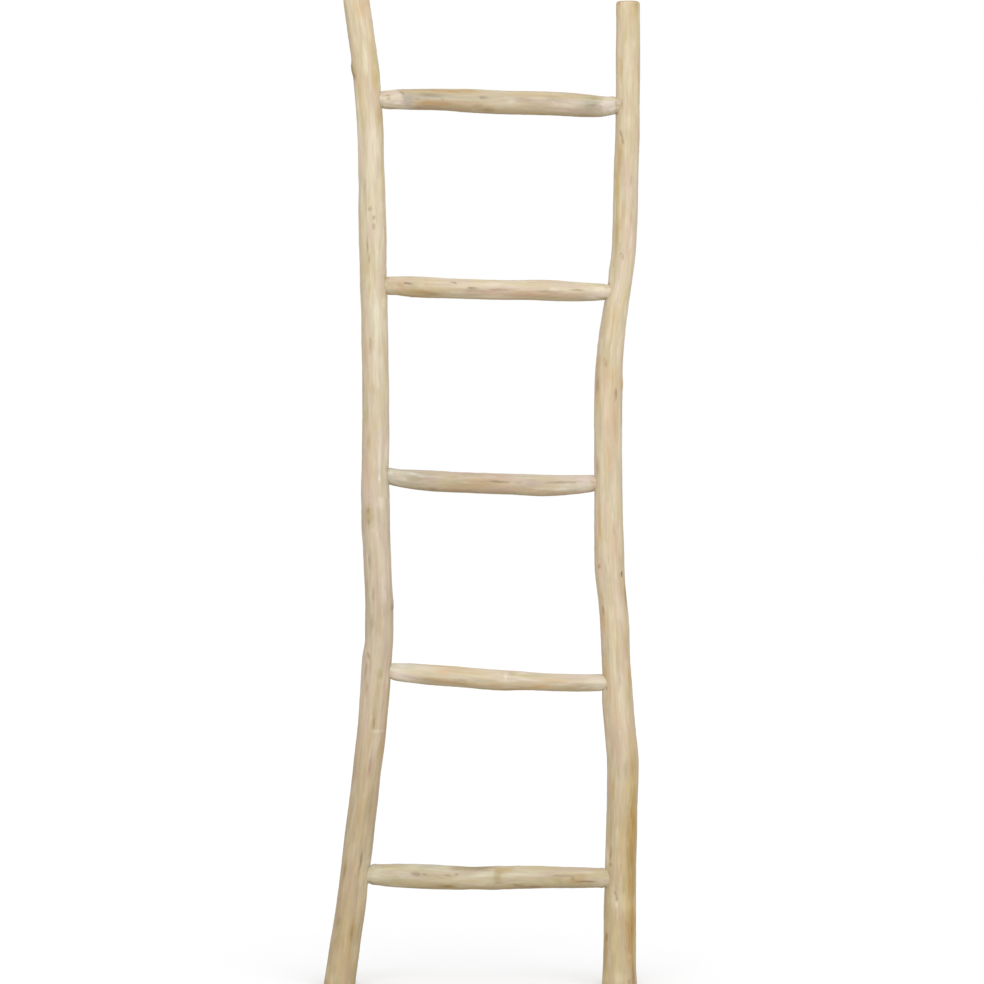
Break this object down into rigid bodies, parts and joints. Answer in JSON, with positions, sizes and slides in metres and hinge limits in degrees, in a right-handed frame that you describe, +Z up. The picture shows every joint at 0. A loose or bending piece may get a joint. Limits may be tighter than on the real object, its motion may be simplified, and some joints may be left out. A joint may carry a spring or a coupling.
{
  "type": "towel ladder",
  "caption": "Rustic towel ladder of peeled crooked branches: whittled rungs socketed and nailed into side rails, leaning on a wall to hang towels from.",
  "frame": {"origin": "on the floor, midway across the ladder and in line with the middles of its feet", "axes": "+Z up the ladder, +X to the right as seen from the front, +Y away from the viewer, towards the wall"},
  "size_m": [0.5131, 0.067, 1.6],
  "materials": {
    "rail_wood": "bare, sanded, pale",
    "rung_wood": "bare, sanded, whittled ends",
    "nail_steel": "plain steel"
  },
  "bodies": {
    "root": {"left_rail": "rail_wood", "right_rail": "rail_wood", "top_rung": "rung_wood", "upper_rung": "rung_wood", "middle_rung": "rung_wood", "lower_rung": "rung_wood", "bottom_rung": "rung_wood", "top_rung_left_nail": "nail_steel", "top_rung_right_nail": "nail_steel", "upper_rung_left_nail": "nail_steel", "upper_rung_right_nail": "nail_steel", "middle_rung_left_nail": "nail_steel", "middle_rung_right_nail": "nail_steel", "lower_rung_left_nail": "nail_steel", "lower_rung_right_nail": "nail_steel", "bottom_rung_left_nail": "nail_steel", "bottom_rung_right_nail": "nail_steel"}
  },
  "joints": []
}
